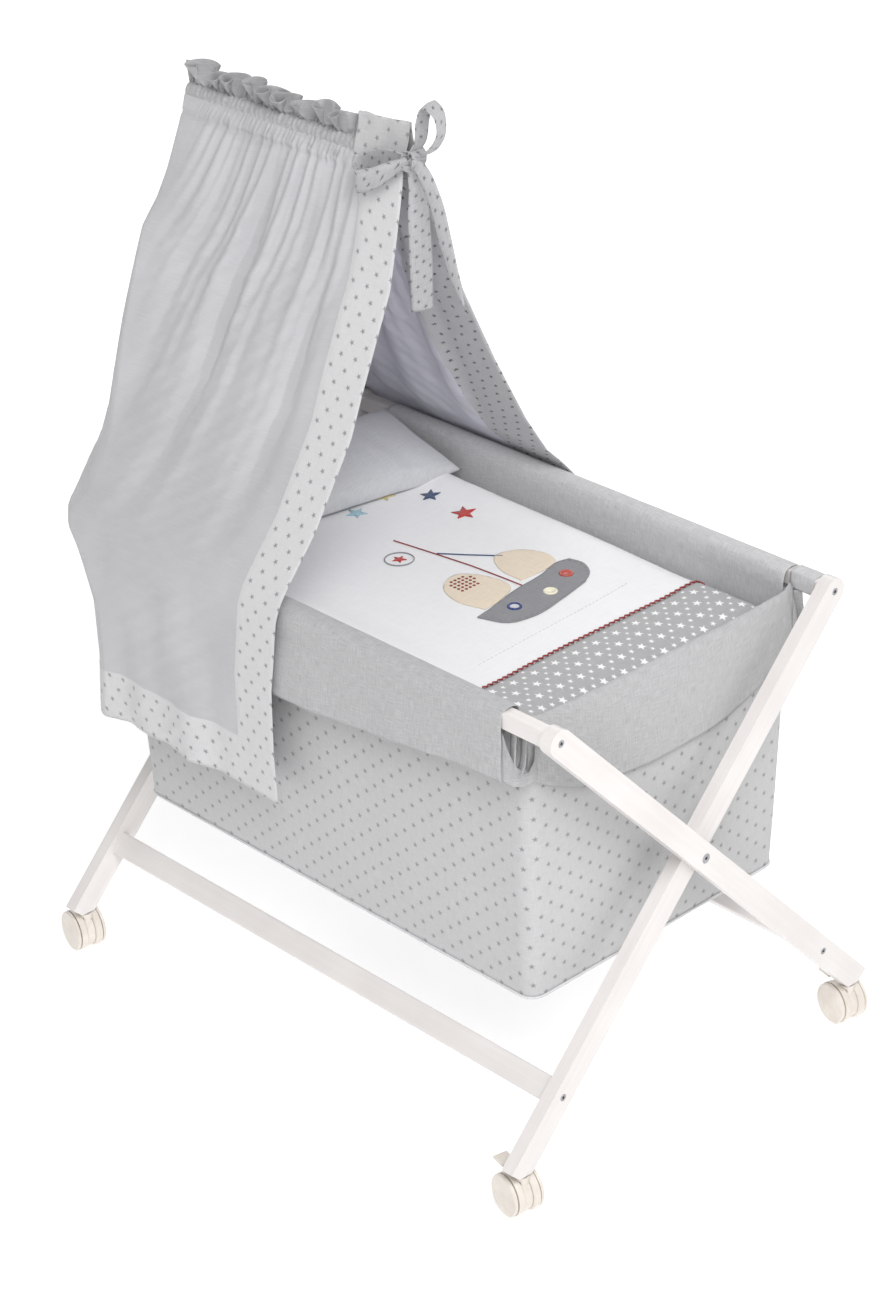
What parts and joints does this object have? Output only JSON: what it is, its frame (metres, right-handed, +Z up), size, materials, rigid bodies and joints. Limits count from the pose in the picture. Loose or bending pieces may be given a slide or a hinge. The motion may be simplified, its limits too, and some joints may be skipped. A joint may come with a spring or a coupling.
{
  "type": "bassinet on folding stand",
  "caption": "Bassinet with a hung cotton basket, quilt, pillow and pole-held canopy on a folding X-frame stand with swivel casters.",
  "frame": {"origin": "on the floor, below the middle of the line through the two pivot bolts", "axes": "+X to the foot end, +Y to the far side rail, +Z up"},
  "size_m": [1.0329, 0.7093, 1.372],
  "materials": {
    "white_paint": "satin white paint on wood",
    "steel": "zinc-plated",
    "caster_plastic": "ivory nylon",
    "white_plastic": "moulded white",
    "white_metal": "white powder coat",
    "board": "bare hardboard",
    "webbing": "woven webbing",
    "star_cotton": "white cotton with tiny grey stars",
    "grey_chambray": "grey chambray weave",
    "white_cotton": "white percale",
    "grey_cotton": "grey cotton",
    "star_grey": "grey cotton with white stars",
    "red_braid": "zigzag braid",
    "dark_grey_cotton": "grey felt",
    "button_blue": "sewn button",
    "star_red": "felt star",
    "canopy_grey": "satin-weave grey voile"
  },
  "bodies": {
    "frame_a": {"rail_near": "white_paint", "leg_foot_outer": "white_paint", "leg_head_inner": "white_paint", "stretcher_far": "white_paint", "frame_a_bolts": "steel", "frame_a_barrel_nuts": "steel", "frame_a_caster_sockets": "caster_plastic", "pivot_bolts": "steel", "pivot_washers": "steel", "pivot_nuts": "steel", "pole_bracket": "white_plastic", "basket_cloth": "star_cotton", "basket_floor_board": "board", "shelf_straps": "webbing", "mattress_board": "board", "rail_band_near": "grey_chambray", "rail_band_far": "grey_chambray", "end_band_foot": "grey_chambray", "end_band_head": "grey_chambray", "corner_ties": "star_cotton"},
    "frame_b": {"rail_far": "white_paint", "leg_head_outer": "white_paint", "leg_foot_inner": "white_paint", "stretcher_near": "white_paint", "frame_b_bolts": "steel", "frame_b_barrel_nuts": "steel", "frame_b_caster_sockets": "caster_plastic"},
    "bedding": {"mattress": "white_cotton", "quilt": "white_cotton", "pillow": "grey_cotton", "quilt_foot_band": "star_grey", "quilt_zigzag": "red_braid", "boat_hull": "dark_grey_cotton", "hull_buttons": "button_blue", "boat_mast": "dark_grey_cotton", "quilt_stars": "star_red"},
    "canopy": {"canopy_pole": "white_metal", "pole_end_cap": "white_plastic", "canopy_curtain": "canopy_grey", "canopy_ruffle": "canopy_grey", "ribbon_bow": "star_cotton"},
    "knob": {"clamp_knob": "white_plastic"},
    "caster_foot_far": {"caster_foot_far_housing": "caster_plastic", "caster_foot_far_stem": "steel"},
    "wheels_foot_far": {"caster_foot_far_axle": "steel", "caster_foot_far_wheels": "caster_plastic"},
    "brake_foot_far": {"caster_foot_far_brake_lever": "caster_plastic"},
    "caster_head_far": {"caster_head_far_housing": "caster_plastic", "caster_head_far_stem": "steel"},
    "wheels_head_far": {"caster_head_far_axle": "steel", "caster_head_far_wheels": "caster_plastic"},
    "caster_foot_near": {"caster_foot_near_housing": "caster_plastic", "caster_foot_near_stem": "steel"},
    "wheels_foot_near": {"caster_foot_near_axle": "steel", "caster_foot_near_wheels": "caster_plastic"},
    "brake_foot_near": {"caster_foot_near_brake_lever": "caster_plastic"},
    "caster_head_near": {"caster_head_near_housing": "caster_plastic", "caster_head_near_stem": "steel"},
    "wheels_head_near": {"caster_head_near_axle": "steel", "caster_head_near_wheels": "caster_plastic"}
  },
  "joints": [
    {"name": "fold", "type": "hinge", "parent": "frame_a", "child": "frame_b", "pos_m": [0, 0, 0.425], "axis": [1, 0, 0], "range_deg": [0, 66], "deforming": ["basket_cloth", "basket_floor_board", "shelf_straps", "mattress_board", "rail_band_near", "rail_band_far", "end_band_foot", "end_band_head", "corner_ties", "mattress", "quilt", "pillow", "quilt_foot_band", "quilt_zigzag", "boat_hull", "hull_buttons", "boat_mast", "quilt_stars", "canopy_curtain", "canopy_ruffle", "ribbon_bow"]},
    {"name": "bedding_lift", "type": "slide", "parent": "frame_a", "child": "bedding", "axis": [0, 0, 1], "range_m": [0, 0.15]},
    {"name": "canopy_lift", "type": "slide", "parent": "frame_a", "child": "canopy", "axis": [0, 0, 1], "range_m": [0, 0.08]},
    {"name": "knob_turn", "type": "hinge", "parent": "frame_a", "child": "knob", "pos_m": [-0.53, 0, 0.5], "axis": [-1, 0, 0], "range_deg": [0, 180]},
    {"name": "swivel_foot_far", "type": "hinge", "parent": "frame_a", "child": "caster_foot_far", "pos_m": [0.47525, 0.325, 0.08], "axis": [0, 0, 1], "continuous": true},
    {"name": "roll_foot_far", "type": "hinge", "parent": "caster_foot_far", "child": "wheels_foot_far", "pos_m": [0.46547, 0.32708, 0.031], "axis": [0.2079, 0.9781, 0], "continuous": true},
    {"name": "brake_foot_far", "type": "hinge", "parent": "caster_foot_far", "child": "brake_foot_far", "pos_m": [0.45373, 0.32957, 0.057], "axis": [-0.2079, -0.9781, 0], "range_deg": [0, 12]},
    {"name": "swivel_head_far", "type": "hinge", "parent": "frame_a", "child": "caster_head_far", "pos_m": [-0.45475, 0.325, 0.08], "axis": [0, 0, 1], "continuous": true},
    {"name": "roll_head_far", "type": "hinge", "parent": "caster_head_far", "child": "wheels_head_far", "pos_m": [-0.46453, 0.32708, 0.031], "axis": [0.2079, 0.9781, 0], "continuous": true},
    {"name": "swivel_foot_near", "type": "hinge", "parent": "frame_b", "child": "caster_foot_near", "pos_m": [0.45475, -0.325, 0.08], "axis": [0, 0, 1], "continuous": true},
    {"name": "roll_foot_near", "type": "hinge", "parent": "caster_foot_near", "child": "wheels_foot_near", "pos_m": [0.44497, -0.32292, 0.031], "axis": [0.2079, 0.9781, 0], "continuous": true},
    {"name": "brake_foot_near", "type": "hinge", "parent": "caster_foot_near", "child": "brake_foot_near", "pos_m": [0.43323, -0.32043, 0.057], "axis": [-0.2079, -0.9781, 0], "range_deg": [0, 12]},
    {"name": "swivel_head_near", "type": "hinge", "parent": "frame_b", "child": "caster_head_near", "pos_m": [-0.47525, -0.325, 0.08], "axis": [0, 0, 1], "continuous": true},
    {"name": "roll_head_near", "type": "hinge", "parent": "caster_head_near", "child": "wheels_head_near", "pos_m": [-0.48503, -0.32292, 0.031], "axis": [0.2079, 0.9781, 0], "continuous": true}
  ]
}
